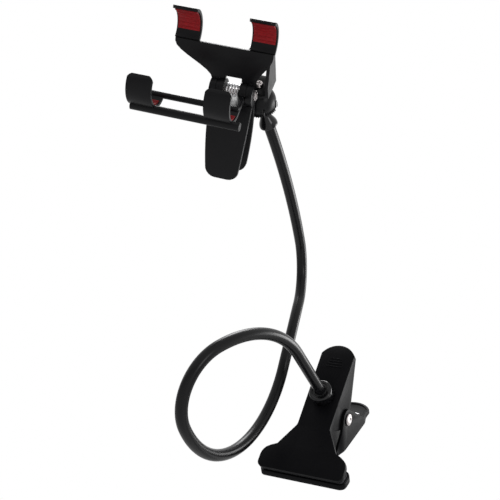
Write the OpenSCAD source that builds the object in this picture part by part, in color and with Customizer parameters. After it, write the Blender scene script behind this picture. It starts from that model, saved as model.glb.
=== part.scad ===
// Gooseneck phone holder: a sprung clamp, a bendable arm and a ball-jointed clip.
// Origin: middle of the clamp's grip. X along the jaws, Y backwards, Z up.

/* [Clamp] */
// Width of the clamp handle at its top
handle_w = 26.4; // [22:0.2:32]
// Width of the clamp at the notch below its pivot
notch_w = 25.2; // [22:0.2:27]
// Width of the bell-shaped jaw
bell_w = 65.4; // [50:0.2:80]
// Height of the handle's shoulders above the pivot
handle_h = 41.5; // [36:0.5:55]
// Rise of the handle's round end above its shoulders
crown_h = 7.7; // [4:0.1:11]
// Depth of the notch below the pivot
notch_drop = 18.7; // [17:0.1:22]
// Depth of the jaw's full width below the pivot
bell_drop = 45.5; // [40:0.5:50]
// Depth of the jaw's lower edge below the pivot
jaw_drop = 54.7; // [54:0.1:62]
// Radius of the jaw's lower corners
bell_corner_r = 4.2; // [2:0.1:7]
// Distance from a clamp plate's outer face to the pivot axis
pivot_d = 19.9; // [17:0.1:24]
// Thickness of a clamp plate
plate_t = 2.4; // [1.6:0.1:3]
// Thickness of the side flanges
flange_t = 1.8; // [1.2:0.1:2.4]
// Depth of the flange at the top of the handle
flange_top = 4.2; // [3.2:0.1:6]
// Depth of the lip round the jaw
lip_d = 4; // [3.2:0.1:5]
// Radius of the ears round the rivet
ear_r = 7.5; // [6:0.1:9]
// Diameter of the rivet
rivet_d = 5; // [4:0.1:6]
// Diameter of the rivet heads
rivet_head_d = 8.6; // [7:0.1:11]
// Height of a rivet head
rivet_head_h = 1.3; // [1:0.1:2]
// Thickness of a rubber jaw pad
pad_t = 3; // [2.4:0.1:4]
// Spacing of the grooves across a jaw pad
pad_pitch = 3.6; // [3:0.1:6]
// Depth of the grooves
groove_d = 0.9; // [0.5:0.1:1.2]
// Diameter of the clamp spring's wire
clamp_wire_d = 1.9; // [1.4:0.1:2.2]
// Radius of the clamp spring's coils, at the wire's centre
clamp_coil_r = 5; // [4.6:0.1:5.6]
// Turns in each of its two coils
clamp_turns = 3; // [2:1:3]
// Width of the spring across its outer turns
clamp_spring_w = 20; // [18:0.5:20.5]
// Distance from the pivot to the ends of the spring's legs
clamp_leg = 27; // [22:0.5:32]

/* [Arm socket] */
// Height of the arm's socket above the pivot
socket_up = 6; // [2:0.5:14]
// Diameter of the socket
socket_d = 17; // [14:0.2:22]
// Height of the socket
socket_h = 9; // [7:0.2:12]
// Depth of the arm in the socket
socket_depth = 7; // [5:0.2:8]
// Diameter of the socket's threaded shank
shank_d = 8; // [6:0.2:10]
// Width of the nut across its flats
nut_af = 13; // [12.5:0.1:15]
// Thickness of the nut
nut_h = 4.4; // [3:0.1:6]
// Thickness of the washer
washer_t = 1; // [0.6:0.1:1.6]
// Diameter of the washer
washer_d = 15; // [14:0.2:16]

/* [Arm] */
// Diameter of the bendable arm
neck_d = 8; // [6:0.1:9]
// Straight length of the arm from the clamp plate to its first bend
neck_lead = 58; // [50:1:70]
// Length of the arm inside the stud
neck_tip = 3; // [2:0.1:4]

/* [Ball joint] */
// Diameter of the ball
ball_d = 17.5; // [16:0.1:18]
// Distance from the wide end of the stud to the ball's centre
stud_l = 21; // [19:0.1:26]
// Diameter of the stud at its wide end
stud_wide_d = 12.7; // [11.6:0.1:15]
// Diameter of the stud at its waist
stud_waist_d = 5.7; // [5.2:0.1:6.4]
// Diameter of the swivel spigot inside the stud
spigot_d = 3.2; // [2.6:0.1:3.6]
// Length of the spigot
spigot_l = 7; // [5:0.1:8]
// Wall thickness of the cup
cup_wall = 1.9; // [1.5:0.1:2.1]
// Height of the cup's rim above the ball's centre
cup_rim = 3.6; // [2.8:0.1:4.4]
// Width of the slits between the cup's petals
slit_w = 1.4; // [1:0.1:2]
// Number of petals
petals = 6; // [4:1:8]
// Diameter of the friction seat under the ball
seat_d = 8; // [6:0.2:9]
// Lean of the cup from the back of the clip
cup_lean = 20; // [14:1:24]
// Diameter of the cup's screw
screw_d = 3; // [2.4:0.1:3.4]

/* [Clip] */
// Width of a held device
grip_w = 58.6; // [56:0.2:62]
// Radius of the inner face of a claw's pad
claw_r = 10.5; // [9.6:0.1:11]
// Thickness of a claw
claw_t = 2; // [1.6:0.1:2.6]
// Thickness of a claw's pad
claw_pad_t = 1; // [0.8:0.1:1.4]
// Width of a claw
claw_w = 16.5; // [14:0.1:18]
// Distance between the two claws of a jaw
claw_span = 50; // [48:0.5:54]
// Middle of the upper claws along the clip
upper_mid = 0; // [-2:0.5:2]
// Middle of the lower claws along the clip
lower_mid = -11.5; // [-13:0.5:-10]
// Middle of the hinge along the clip
hub_mid = 8; // [6:0.5:10]
// Width of the hinge
hub_w = 29; // [28:0.2:30]
// Outer radius of the hinge barrel
hub_r = 7.5; // [6.8:0.1:7.8]
// Width of an upper ear of the hinge
ear_w = 4.2; // [3.6:0.1:4.6]
// Width of a lower knuckle of the hinge
knuckle_w = 4.6; // [3.8:0.1:5]
// Distance of the hinge behind a held device's face
hinge_back = 35; // [34:0.5:36]
// Thickness of the clip's plates
clip_t = 2.4; // [2:0.1:2.6]
// Length of the clip's handles from the hinge
grip_l = 58; // [48:1:60]
// Direction of the lower handle, from the front
paddle_turn = -115; // [-118:1:-112]
// Angle between the two handles
handle_gap = 35; // [33:1:38]
// Radius to which the handles are bowed
bow_r = 160; // [130:5:260]
// Thickness of the bar under the lower claws
bar_d = 5.4; // [4.6:0.1:6]
// Diameter of the hinge pin
pin_d = 4; // [3.4:0.1:4.6]
// Diameter of the clip spring's wire
clip_wire_d = 1.4; // [1:0.1:1.6]
// Radius of the clip spring's coil, at the wire's centre
clip_coil_r = 4.6; // [4.4:0.1:5.2]
// Turns of the clip spring
clip_turns = 5; // [4:1:6]
// Distance from the hinge to the ends of the clip spring's legs
clip_leg = 19; // [15:0.5:24]

/* [Hidden] */

$fn = 64;
run_gap = 0.3;      // between faces that pass each other
fit_gap = 0.05;     // between a shaft and its hole
eps = 0.01;         // overlap of cuts past a face
far = 200;          // longer than any cut

// Each bend of the arm: turn about its own line, bend radius, bend angle
neck_bends = [
    [-110, 79, 63],
    [3, 34, 105],
    [-17, 72, 121],
    [-153, 86, 39],
    [164, 30, 100],
    [-85, 805, 8]
];
// Turn of the clip on its ball, as it is set in use
clip_turn = [26, 17, 166];
// Ball centre in the clip's own frame: along, up, in front of a held device's face
ball_at = [22, 5.2, -53.8];

neck_r = neck_d / 2;
ball_r = ball_d / 2;
rivet_r = rivet_d / 2;
pin_r = pin_d / 2;
black = [0.1, 0.1, 0.11];
dark_grey = [0.2, 0.2, 0.22];
red = [0.75, 0.08, 0.12];
silver = [0.75, 0.75, 0.77];

// Clamp: the two halves mirror about a plane through the pivot that leans back
grip_drop = 50;
pad_low = jaw_drop - flange_t - fit_gap;
lean = atan((pivot_d - plate_t - pad_t - run_gap / 2) / pad_low);
pivot = [0, grip_drop * tan(lean), grip_drop];
rear_jog = flange_t + run_gap;
bump_hold = 26;
bump_fade = 10;
bump_low = 10;

// Clip: claws are half rings whose centres lie above and below the held device
device_t = 7.6;
claw_out = claw_r + claw_pad_t + claw_t;
claw_back = 2;
corner_reach = device_t - claw_back;
claw_up = grip_w / 2 - sqrt(claw_r * claw_r - corner_reach * corner_reach);
root_n = -claw_back - claw_out + claw_t / 2;
claw_step = 0.5;    // a claw's side stands this far past its plate
plate_turn = atan2(claw_up, root_n + hinge_back);
plate_l = norm([claw_up, root_n + hinge_back]);
hub_low = hub_mid - hub_w / 2;
hub_high = hub_mid + hub_w / 2;
knuckle_low = hub_low + ear_w + run_gap;
knuckle_high = hub_high - ear_w - run_gap;
bay_low = knuckle_low + knuckle_w + run_gap;
bay_high = knuckle_high - knuckle_w - run_gap;

function clamp01(t) = min(max(t, 0), 1);
function ease(t) = let (s = clamp01(t)) s * s * (3 - 2 * s);
function mix(a, b, t) = a + (b - a) * t;
function arc(c, r, from, to, steps) =
    [for (i = [0 : steps]) let (a = mix(from, to, i / steps)) c + r * [cos(a), sin(a)]];
function flip(points) =
    [for (i = [len(points) - 1 : -1 : 0]) [-points[i][0], points[i][1]]];

// Sweep of a round wire along a path, turned with the path without twist
function unit(v) = v / norm(v);
function tangent(p, i) = unit(p[min(i + 1, len(p) - 1)] - p[max(i - 1, 0)]);
function square_to(v, t) = unit(v - (v * t) * t);
function normals(p, i, last, out) =
    i >= len(p) ? out
    : let (n = square_to(last, tangent(p, i))) normals(p, i + 1, n, concat(out, [n]));
module wire(path, r, sides) {
    first = square_to([0.3, 0.5, 0.81], tangent(path, 0));
    ns = normals(path, 0, first, []);
    rings = [for (i = [0 : len(path) - 1])
        let (t = tangent(path, i), n = ns[i], b = cross(t, n))
        for (k = [0 : sides - 1])
            path[i] + r * (cos(360 * k / sides) * n + sin(360 * k / sides) * b)];
    last = len(path) - 1;
    sides_faces = [for (i = [0 : last - 1]) for (k = [0 : sides - 1])
        let (a = i * sides + k, b = i * sides + (k + 1) % sides)
        [a, a + sides, b + sides, b]];
    cap_a = [for (k = [0 : sides - 1]) k];
    cap_b = [for (k = [sides - 1 : -1 : 0]) last * sides + k];
    polyhedron(rings, concat(sides_faces, [cap_a, cap_b]));
}

// A flat outline in X and Z, made solid from y0 to y1
module upright(y0, y1) {
    translate([0, y1, 0]) rotate([90, 0, 0]) linear_extrude(y1 - y0) children();
}
// A flat outline in Y and Z, made solid from x0 to x1
module sideways(x0, x1) {
    translate([x0, 0, 0]) rotate([90, 0, 90]) linear_extrude(x1 - x0) children();
}
// A round bar along X
module rod(r, x0, x1) {
    translate([x0, 0, 0]) rotate([0, 90, 0]) cylinder(r = r, h = x1 - x0);
}

// Clamp

module at_pivot() {
    translate(pivot) children();
}
module at_rear() {
    at_pivot() mirror([0, cos(lean), -sin(lean)]) children();
}

function bump(z) =
    z > bump_hold ? 1 - ease((z - bump_hold) / bump_fade)
    : z > -bump_low ? 1
    : 1 - ease((-z - bump_low) / (notch_drop - bump_low));
function side_x(z, jog) =
    z > -notch_drop
    ? mix(notch_w, handle_w, (z + notch_drop) / (handle_h + notch_drop)) / 2 + jog * bump(z)
    : mix(notch_w, bell_w, ease((-z - notch_drop) / (bell_drop - notch_drop))) / 2;
function half_outline(inset, jog) =
    let (
        w = handle_w / 2,
        crown_r = (w * w + crown_h * crown_h) / (2 * crown_h),
        crown_z = handle_h + crown_h - crown_r,
        tip = acos((w - inset) / (crown_r - inset)),
        corner = [bell_w / 2 - bell_corner_r, bell_corner_r - jaw_drop]
    )
    concat(
        arc(corner, bell_corner_r - inset, -90, 0, 6),
        [for (z = [-bell_drop : 2 : handle_h - 1]) [side_x(z, jog) - inset, z]],
        arc([0, crown_z], crown_r - inset, tip, 90 - 5, 6)
    );
module outline(inset, jog) {
    half = half_outline(inset, jog);
    polygon(concat(half, flip(half)));
}
function tangent_at(p, side) =
    let (a = atan2(p[1], p[0]) + side * acos(ear_r / norm(p))) ear_r * [cos(a), sin(a)];
module flange_side() {
    top = [flange_top - pivot_d, handle_h];
    low = [lip_d - pivot_d, -notch_drop];
    polygon([
        [-pivot_d, -jaw_drop], [lip_d - pivot_d, -jaw_drop], low, tangent_at(low, 1),
        tangent_at(top, -1), top, [flange_top - pivot_d, handle_h + crown_h],
        [-pivot_d, handle_h + crown_h]
    ]);
}
module jaw_half(jog) {
    inner = plate_t - pivot_d;
    difference() {
        intersection() {
            upright(-pivot_d, ear_r) outline(0, jog);
            union() {
                sideways(-far / 2, far / 2) flange_side();
                rod(ear_r, -far / 2, far / 2);
            }
        }
        upright(inner, ear_r + eps) outline(flange_t, jog);
        rod(rivet_r + fit_gap, -far / 2, far / 2);
    }
}
module front_jaw() {
    color(black) difference() {
        at_pivot() jaw_half(0);
        at_socket() translate([0, 0, -plate_t - eps])
            cylinder(d = shank_d + 2 * fit_gap, h = plate_t + 2 * eps);
    }
}
module rear_jaw() {
    color(black) at_rear() jaw_half(rear_jog);
}

// A rubber pad inside the jaw's lip, grooved across its grip face
module jaw_pad() {
    back = plate_t - pivot_d;
    face = back + pad_t;
    top = -notch_drop - 9;
    low = -pad_low;
    grooves = floor((top - low) / pad_pitch);
    difference() {
        intersection() {
            upright(back, face) outline(flange_t + fit_gap, 0);
            sideways(-far / 2, far / 2) polygon([[back, low], [face, low], [face, top], [back, top]]);
        }
        for (i = [1 : grooves - 1])
            sideways(-far / 2, far / 2) translate([face, low + i * pad_pitch])
                polygon([[-groove_d, 0], [eps, -groove_d], [eps, groove_d]]);
    }
}
module front_jaw_pad() {
    color(dark_grey) at_pivot() jaw_pad();
}
module rear_jaw_pad() {
    color(dark_grey) at_rear() jaw_pad();
}

rivet_half = side_x(0, rear_jog) + fit_gap;
module rivet_head() {
    translate([rivet_half, 0, 0]) rotate([0, 90, 0])
        cylinder(d1 = rivet_head_d, d2 = rivet_head_d * 0.6, h = rivet_head_h);
}
module clamp_rivet() {
    color(silver) at_pivot() {
        rod(rivet_r, -rivet_half, rivet_half);
        rivet_head();
        mirror([1, 0, 0]) rivet_head();
    }
}

// One half of the clamp spring: a leg on the front plate, a coil and half the rear bar
leg_touch = pivot_d - plate_t - clamp_wire_d / 2 - run_gap;
function leg_point(side, x, reach) =
    let (z = sqrt(reach * reach - leg_touch * leg_touch))
    side < 0 ? [x, -leg_touch, z]
    : let (a = 2 * lean) [x, leg_touch * cos(a) + z * sin(a), z * cos(a) - leg_touch * sin(a)];
function coil_angle(p, side) = atan2(p[2], p[1]) - side * acos(clamp_coil_r / norm([p[1], p[2]]));
function half_spring() =
    let (
        outer = clamp_spring_w / 2 - clamp_wire_d / 2,
        pitch = clamp_wire_d + 0.25,
        front = leg_point(-1, outer, clamp_leg),
        rear = leg_point(1, 0, clamp_leg),
        a0 = coil_angle(front, -1),
        a1 = coil_angle(rear, 1) - 360 * clamp_turns,
        steps = 20 * clamp_turns
    )
    concat(
        [front],
        [for (i = [0 : steps])
            let (a = mix(a0, a1, i / steps), x = outer - pitch * clamp_turns * i / steps)
            [x, clamp_coil_r * cos(a), clamp_coil_r * sin(a)]],
        [rear + [outer - pitch * clamp_turns, 0, 0]]
    );
module clamp_spring() {
    half = half_spring();
    both = concat(half, [for (i = [len(half) - 1 : -1 : 0]) [-half[i][0], half[i][1], half[i][2]]]);
    color(silver) at_pivot() wire(both, clamp_wire_d / 2, 8);
}

// Arm socket on the front plate

module at_socket() {
    translate(pivot + [0, -pivot_d, socket_up]) rotate([90, 0, 0]) children();
}
module neck_socket() {
    r = socket_d / 2;
    hole = neck_r + fit_gap;
    floor_z = socket_h - socket_depth;
    shank_end = -plate_t - washer_t - nut_h - 1;
    color(black) at_socket() rotate_extrude()
        polygon([
            [0, shank_end], [shank_d / 2 - 0.6, shank_end], [shank_d / 2, shank_end + 0.6],
            [shank_d / 2, 0], [r, 0], [r, socket_h - 1.2], [r - 0.5, socket_h - 0.35],
            [r - 1.2, socket_h], [r - 2.2, socket_h], [r - 2.8, socket_h - 0.8],
            [hole + 1, socket_h - 0.8], [hole + 0.7, socket_h], [hole, socket_h],
            [hole, floor_z], [0, floor_z]
        ]);
}
module socket_washer() {
    color(silver) at_socket() translate([0, 0, -plate_t - washer_t]) difference() {
        cylinder(d = washer_d, h = washer_t);
        translate([0, 0, -eps]) cylinder(d = shank_d + 2 * fit_gap, h = washer_t + 2 * eps);
    }
}
module socket_nut() {
    across = nut_af / cos(30);
    color(silver) at_socket() translate([0, 0, -plate_t - washer_t - nut_h]) difference() {
        intersection() {
            cylinder(d = across, h = nut_h, $fn = 6);
            translate([0, 0, -0.01])
                cylinder(d1 = nut_af, d2 = nut_af + 2 * nut_h, h = nut_h + 0.02);
        }
        translate([0, 0, -eps]) cylinder(d = shank_d + 2 * fit_gap, h = nut_h + 2 * eps);
    }
}

// The arm: a straight lead, then round bends that each start square to the last one's end.
// A place along it is a point and three axes, the third of them along the arm.

neck_sides = 16;
neck_step = 9;
neck_ring = 30;
function rolled(axes, a) =
    [cos(a) * axes[0] + sin(a) * axes[1], cos(a) * axes[1] - sin(a) * axes[0], axes[2]];
function along_bend(place, r, a) =
    let (p = place[0], x = place[1][0], y = place[1][1], z = place[1][2])
    [p + r * (1 - cos(a)) * x + r * sin(a) * z,
     [cos(a) * x - sin(a) * z, y, sin(a) * x + cos(a) * z]];
function bend_points(place, r, a) =
    let (steps = max(ceil(a / neck_step), ceil(r * a * PI / 180 / neck_ring)))
    [for (i = [1 : steps]) along_bend(place, r, a * i / steps)[0]];
function neck_points(i, place, out) =
    i >= len(neck_bends) ? concat(out, [place[0] + neck_tip * place[1][2]])
    : let (b = neck_bends[i], start = [place[0], rolled(place[1], b[0])])
    neck_points(i + 1, along_bend(start, b[1], b[2]), concat(out, bend_points(start, b[1], b[2])));
module after_bends(i) {
    if (i < len(neck_bends)) {
        b = neck_bends[i];
        rotate([0, 0, b[0]]) translate([b[1] * (1 - cos(b[2])), 0, b[1] * sin(b[2])])
            rotate([0, b[2], 0]) after_bends(i + 1) children();
    } else {
        children();
    }
}
module at_neck_end() {
    at_socket() translate([0, 0, neck_lead]) after_bends(0) children();
}
module gooseneck() {
    start = [0, 0, socket_h - socket_depth];
    lead = [0, 0, neck_lead];
    axes = [[1, 0, 0], [0, 1, 0], [0, 0, 1]];
    color(black) at_socket()
        wire(neck_points(0, [lead, axes], [start, lead / 2, lead]), neck_r, neck_sides);
}

// Ball joint

ferrule_t = 1;
stud_bore_r = spigot_d / 2 + fit_gap;
module neck_ferrule() {
    color(silver) at_neck_end() translate([0, 0, neck_tip]) {
        cylinder(r = neck_r, h = ferrule_t);
        cylinder(d = spigot_d, h = ferrule_t + spigot_l);
    }
}
module ball_stud() {
    pocket_r = neck_r + run_gap;
    pocket = neck_tip + ferrule_t + run_gap;
    waist_z = stud_l - ball_r - 1;
    flare = [for (i = [0 : 8])
        let (t = i / 8) [mix(stud_wide_d, stud_waist_d, ease(t)) / 2, mix(1, waist_z, t)]];
    color(black) at_neck_end() difference() {
        union() {
            rotate_extrude() polygon(concat(
                [[0, 0], [stud_wide_d / 2 - 0.5, 0], [stud_wide_d / 2, 0.5]], flare,
                [[stud_waist_d / 2, stud_l], [0, stud_l]]));
            translate([0, 0, stud_l]) sphere(r = ball_r);
        }
        translate([0, 0, -eps]) cylinder(r = pocket_r, h = pocket + eps);
        translate([0, 0, pocket - eps]) cylinder(r = stud_bore_r, h = spigot_l + run_gap);
    }
}

// The clip's own frame: X along a held device, Y up, Z out of its face
module in_clip() {
    at_neck_end() translate([0, 0, stud_l]) rotate(clip_turn) translate(-ball_at) children();
}
// The cup's frame: origin at the ball's centre, Z out of the mouth
module at_cup() {
    translate(ball_at) rotate([180 - cup_lean, 0, 0]) children();
}
ball_play = 0.08;
cavity_r = ball_r + ball_play;
cup_r = cavity_r + cup_wall;
seat_t = 1.4;
seat_low = cavity_r + seat_t;
cup_foot = seat_low + 1.8;
foot_r = 6.6;
module ball_seat() {
    color(dark_grey) in_clip() at_cup() difference() {
        translate([0, 0, -seat_low]) cylinder(d = seat_d, h = seat_t + 1.4);
        sphere(r = ball_r + ball_play / 2);
    }
}
module ball_cup() {
    rim_a = asin(cup_rim / cup_r);
    foot_a = -acos(foot_r / cup_r);
    bowl = arc([0, 0], cup_r, foot_a, rim_a, 14);
    lip = [[bowl[14][0] + 0.7, cup_rim + 0.2], [bowl[14][0] + 0.7, cup_rim + 1.2],
           [bowl[14][0], cup_rim + 1.7], [0, cup_rim + 1.7]];
    color(black) in_clip() at_cup() difference() {
        rotate_extrude() polygon(concat([[0, -cup_foot], [foot_r, -cup_foot]], bowl, lip));
        sphere(r = cavity_r);
        cylinder(r1 = cavity_r * 0.5, r2 = cavity_r * 1.06, h = cup_rim + 2);
        translate([0, 0, -seat_low - fit_gap]) cylinder(d = seat_d + 2 * fit_gap, h = cavity_r);
        translate([0, 0, -cup_foot - eps]) cylinder(d = screw_d + 2 * fit_gap, h = cup_foot);
        for (i = [0 : petals - 1]) rotate([0, 0, 360 * i / petals])
            translate([0, -slit_w / 2, -2]) cube([far / 4, slit_w, 20]);
        rotate([180 + cup_lean, 0, 0]) translate(-ball_at) at_hinge()
            rod(hub_r + run_gap, hub_low, hub_high + run_gap);
    }
}
screw_seat = 2.4;
module cup_screw() {
    color(silver) in_clip() at_cup() {
        translate([0, 0, -cup_foot - screw_seat])
            cylinder(d = screw_d, h = screw_seat + cup_foot - seat_low - 0.4);
        translate([0, 0, -cup_foot - screw_seat - 1.6]) difference() {
            cylinder(d1 = screw_d * 1.5, d2 = screw_d * 2, h = 1.6);
            for (a = [0, 90]) rotate([0, 0, a])
                translate([-1.6, -0.35, -eps]) cube([3.2, 0.7, 0.9]);
        }
    }
}

// Clip

module at_hinge() {
    translate([0, 0, -hinge_back]) children();
}
// Points along a plate that leaves the hinge at an angle from the front, towards the top
module along(turn) {
    at_hinge() rotate([-turn, 0, 0]) children();
}
// A claw: half a ring about its own centre, from the back over the outside to the front
tip_r = 4.6;
tip_in = 4.3;
module claw(mid) {
    translate([mid - claw_w / 2, claw_up, -claw_back]) difference() {
        rotate([0, 90, 0]) rotate_extrude(angle = 180)
            translate([claw_out - claw_t, 0]) square([claw_t, claw_w]);
        for (x = [0, 1]) translate([x * claw_w, 0, 0]) mirror([x, 0, 0])
            difference() {
                translate([-eps, -eps, 0]) cube([tip_in, tip_in, far / 4]);
                translate([tip_in, tip_in, -eps]) cylinder(r = tip_r, h = far / 4 + 1);
            }
    }
}
// A claw's pad, ribbed across its grip face
module claw_pad(mid) {
    r_out = claw_out - claw_t - fit_gap;
    w = claw_w - 2;
    ribs = 9;
    spread = 124;
    translate([mid - w / 2, claw_up, -claw_back]) rotate([0, 90, 0]) rotate([0, 0, 90]) {
        rotate([0, 0, -spread / 2]) rotate_extrude(angle = spread)
            translate([claw_r + 0.3, 0]) square([r_out - claw_r - 0.3, w]);
        for (i = [0 : ribs - 1]) rotate([0, 0, spread * (i - (ribs - 1) / 2) / ribs])
            translate([claw_r + 0.45, 0, 0]) cylinder(r = 0.45, h = w, $fn = 24);
    }
}
// A flared plate between the hinge and the claws' roots
module claw_plate(low, high, wide_low, wide_high) {
    steps = 8;
    right = [for (i = [0 : steps]) let (t = i / steps)
        [mix(high, wide_high, ease(t)), mix(hub_r - 1, plate_l - 2, t)]];
    left = [for (i = [steps : -1 : 0]) let (t = i / steps)
        [mix(low, wide_low, ease(t)), mix(hub_r - 1, plate_l - 2, t)]];
    along(plate_turn) upright(-clip_t / 2, clip_t / 2)
        polygon(concat([[high, 0]], right, [[wide_high, plate_l], [wide_low, plate_l]], left,
                       [[low, 0]]));
}
// A bowed handle: a petal outline on a cylinder about an axis along X
module handle(turn, low, high, side) {
    end_r = 7;
    mid = (low + high) / 2;
    half = (high - low) / 2;
    narrow = half - 3;
    edge = [for (i = [0 : 10]) let (t = i / 10)
        [half - (half - narrow) * t * t, mix(0, grip_l - end_r, t)]];
    right = concat(edge, arc([narrow - end_r, grip_l - end_r], end_r, 0, 90, 5));
    along(turn) intersection() {
        translate([mid, 0, 0]) upright(-far / 4, far / 4) polygon(concat(right, flip(right)));
        translate([0, -side * bow_r, hub_r]) difference() {
            rod(bow_r + clip_t / 2, -far / 2, far / 2);
            rod(bow_r - clip_t / 2, -far / 2, far / 2);
        }
    }
}
module pin_bore() {
    at_hinge() rod(pin_r + fit_gap, -far / 2, far / 2);
}
// The bracket that carries the cup: a seat square to the cup's axis, on two ribs
module cup_bracket() {
    rib_t = 2.2;
    half = foot_r + rib_t;
    seat_z = -cup_foot;
    difference() {
        intersection() {
            at_cup() translate([-half, -half, seat_z - 34]) cube([2 * half, 2 * half, 34]);
            along(plate_turn) translate([-far / 2, 0, -2])
                cube([far, far, plate_l + 2]);
        }
        at_cup() translate([-foot_r, -half - eps, seat_z - 34 - screw_seat])
            cube([2 * foot_r, 2 * half + 2 * eps, 34]);
        at_cup() translate([0, 0, seat_z - screw_seat - eps])
            cylinder(d = screw_d + 2 * fit_gap, h = screw_seat + 2 * eps);
    }
}
module clip_upper_jaw() {
    left = upper_mid - claw_span / 2;
    right = upper_mid + claw_span / 2;
    color(black) in_clip() difference() {
        union() {
            at_hinge() rod(hub_r, hub_low, hub_low + ear_w);
            at_hinge() rod(hub_r, hub_high - ear_w, hub_high);
            claw_plate(hub_low, hub_high, left - claw_w / 2 + claw_step,
                       right + claw_w / 2 - claw_step);
            claw(left);
            claw(right);
            handle(paddle_turn - handle_gap, hub_low, hub_high, -1);
            cup_bracket();
        }
        at_hinge() rod(hub_r + run_gap, hub_low + ear_w, hub_high - ear_w);
        at_hinge() rod(window_r, knuckle_low + knuckle_w, knuckle_high - knuckle_w);
        at_hinge() rod(pin_r + pin_rim + run_gap, hub_high, hub_high + 3);
        pin_bore();
    }
}
module clip_lower_jaw() {
    left = lower_mid - claw_span / 2;
    right = lower_mid + claw_span / 2;
    bar_turn = 23;
    bar_end = 5;
    color(black) in_clip() difference() {
        union() {
            mirror([0, 1, 0]) {
                claw_plate(knuckle_low, knuckle_high, right - claw_w / 2 + claw_step,
                           right + claw_w / 2 - claw_step);
                translate([0, claw_up, root_n])
                    rod(claw_t, left - claw_w / 2 + claw_step, right + claw_w / 2 - claw_step);
                claw(left);
                claw(right);
                translate([0, claw_up, -claw_back]) rotate([-bar_turn, 0, 0])
                    translate([0, claw_out - claw_t + bar_d / 2, 0])
                    rod(bar_d / 2, left - claw_w / 2 + claw_step, right + claw_w / 2 + bar_end);
            }
            at_hinge() rod(hub_r, knuckle_low, knuckle_low + knuckle_w);
            at_hinge() rod(hub_r, knuckle_high - knuckle_w, knuckle_high);
            handle(paddle_turn, hub_low, hub_high, 1);
        }
        at_hinge() rod(hub_r + run_gap, hub_low - 1, knuckle_low - eps);
        at_hinge() rod(hub_r + run_gap, knuckle_high + eps, hub_high + 1);
        at_hinge() rod(window_r, knuckle_low + knuckle_w, knuckle_high - knuckle_w);
        pin_bore();
    }
}
pin_head_t = 1.2;
pin_rim = 1.4;
// The spring's legs cross in a window through the roots of the plates
leg_reach = acos(clip_coil_r / clip_leg);
window_r = clip_coil_r / cos(leg_reach - handle_gap) + clip_t + clip_wire_d;
module clip_pin() {
    color(silver) in_clip() at_hinge() {
        rod(pin_r, hub_low, hub_high + pin_head_t + 0.6);
        rod(pin_r + pin_rim, hub_low - pin_head_t, hub_low);
    }
}
module clip_pin_cap() {
    color(silver) in_clip() at_hinge() difference() {
        rod(pin_r + pin_rim, hub_high, hub_high + pin_head_t);
        rod(pin_r + fit_gap, hub_high - 1, hub_high + pin_head_t + 1);
    }
}
// Legs rest on the inner faces of the two handles
function clip_leg_point(a, x, off) =
    let (r = clip_leg) [x, r * sin(a) + off * cos(a), r * cos(a) - off * sin(a)];
module clip_spring() {
    room = bay_high - bay_low - clip_wire_d;
    x0 = bay_low + clip_wire_d / 2;
    sag = (clip_leg - hub_r) * (clip_leg - hub_r) / (2 * bow_r);
    lift = clip_t / 2 + clip_wire_d / 2 + run_gap + sag;
    low_leg = clip_leg_point(paddle_turn, x0, -lift);
    up_leg = clip_leg_point(paddle_turn - handle_gap, x0 + room, lift);
    a0 = atan2(low_leg[2], low_leg[1]) + leg_reach;
    a1 = atan2(up_leg[2], up_leg[1]) - leg_reach + 360 * clip_turns;
    steps = 18 * clip_turns;
    coil = [for (i = [0 : steps]) let (a = mix(a0, a1, i / steps))
        [x0 + room * i / steps, clip_coil_r * cos(a), clip_coil_r * sin(a)]];
    color(silver) in_clip() at_hinge()
        wire(concat([low_leg], coil, [up_leg]), clip_wire_d / 2, 8);
}
module upper_left_pad() {
    color(red) in_clip() claw_pad(upper_mid - claw_span / 2);
}
module upper_right_pad() {
    color(red) in_clip() claw_pad(upper_mid + claw_span / 2);
}
module lower_left_pad() {
    color(red) in_clip() mirror([0, 1, 0]) claw_pad(lower_mid - claw_span / 2);
}
module lower_right_pad() {
    color(red) in_clip() mirror([0, 1, 0]) claw_pad(lower_mid + claw_span / 2);
}

front_jaw();
rear_jaw();
front_jaw_pad();
rear_jaw_pad();
clamp_rivet();
clamp_spring();
neck_socket();
socket_washer();
socket_nut();
gooseneck();
neck_ferrule();
ball_stud();
ball_seat();
ball_cup();
cup_screw();
clip_upper_jaw();
clip_lower_jaw();
clip_pin();
clip_pin_cap();
clip_spring();
upper_left_pad();
upper_right_pad();
lower_left_pad();
lower_right_pad();
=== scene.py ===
"""Looks of a clamp, a bendable arm and a ball-jointed clip: finishes, pieces, floor, lights and camera."""

import logging
import math
from dataclasses import dataclass, field
from enum import Enum
from typing import Callable, Iterable

import bmesh
import bpy
from mathutils import Euler, Matrix, Vector


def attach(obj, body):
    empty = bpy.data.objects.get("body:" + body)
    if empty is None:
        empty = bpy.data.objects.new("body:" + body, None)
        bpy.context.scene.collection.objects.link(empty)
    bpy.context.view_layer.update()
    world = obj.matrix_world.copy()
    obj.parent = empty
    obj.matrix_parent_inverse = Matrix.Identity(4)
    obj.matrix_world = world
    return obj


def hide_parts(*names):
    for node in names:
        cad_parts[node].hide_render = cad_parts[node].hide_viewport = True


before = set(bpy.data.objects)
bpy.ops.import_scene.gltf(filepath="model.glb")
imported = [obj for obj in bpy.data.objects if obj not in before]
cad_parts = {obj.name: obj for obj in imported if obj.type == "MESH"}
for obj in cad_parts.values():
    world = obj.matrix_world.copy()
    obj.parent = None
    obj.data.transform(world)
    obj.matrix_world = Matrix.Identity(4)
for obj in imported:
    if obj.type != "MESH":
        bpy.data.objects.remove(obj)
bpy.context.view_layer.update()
LOG = logging.getLogger("holder")
MM = 0.001
Profile = list[tuple[float, float]]
Triple = tuple[float, float, float]
Move = Callable[[Vector], Vector]


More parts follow.
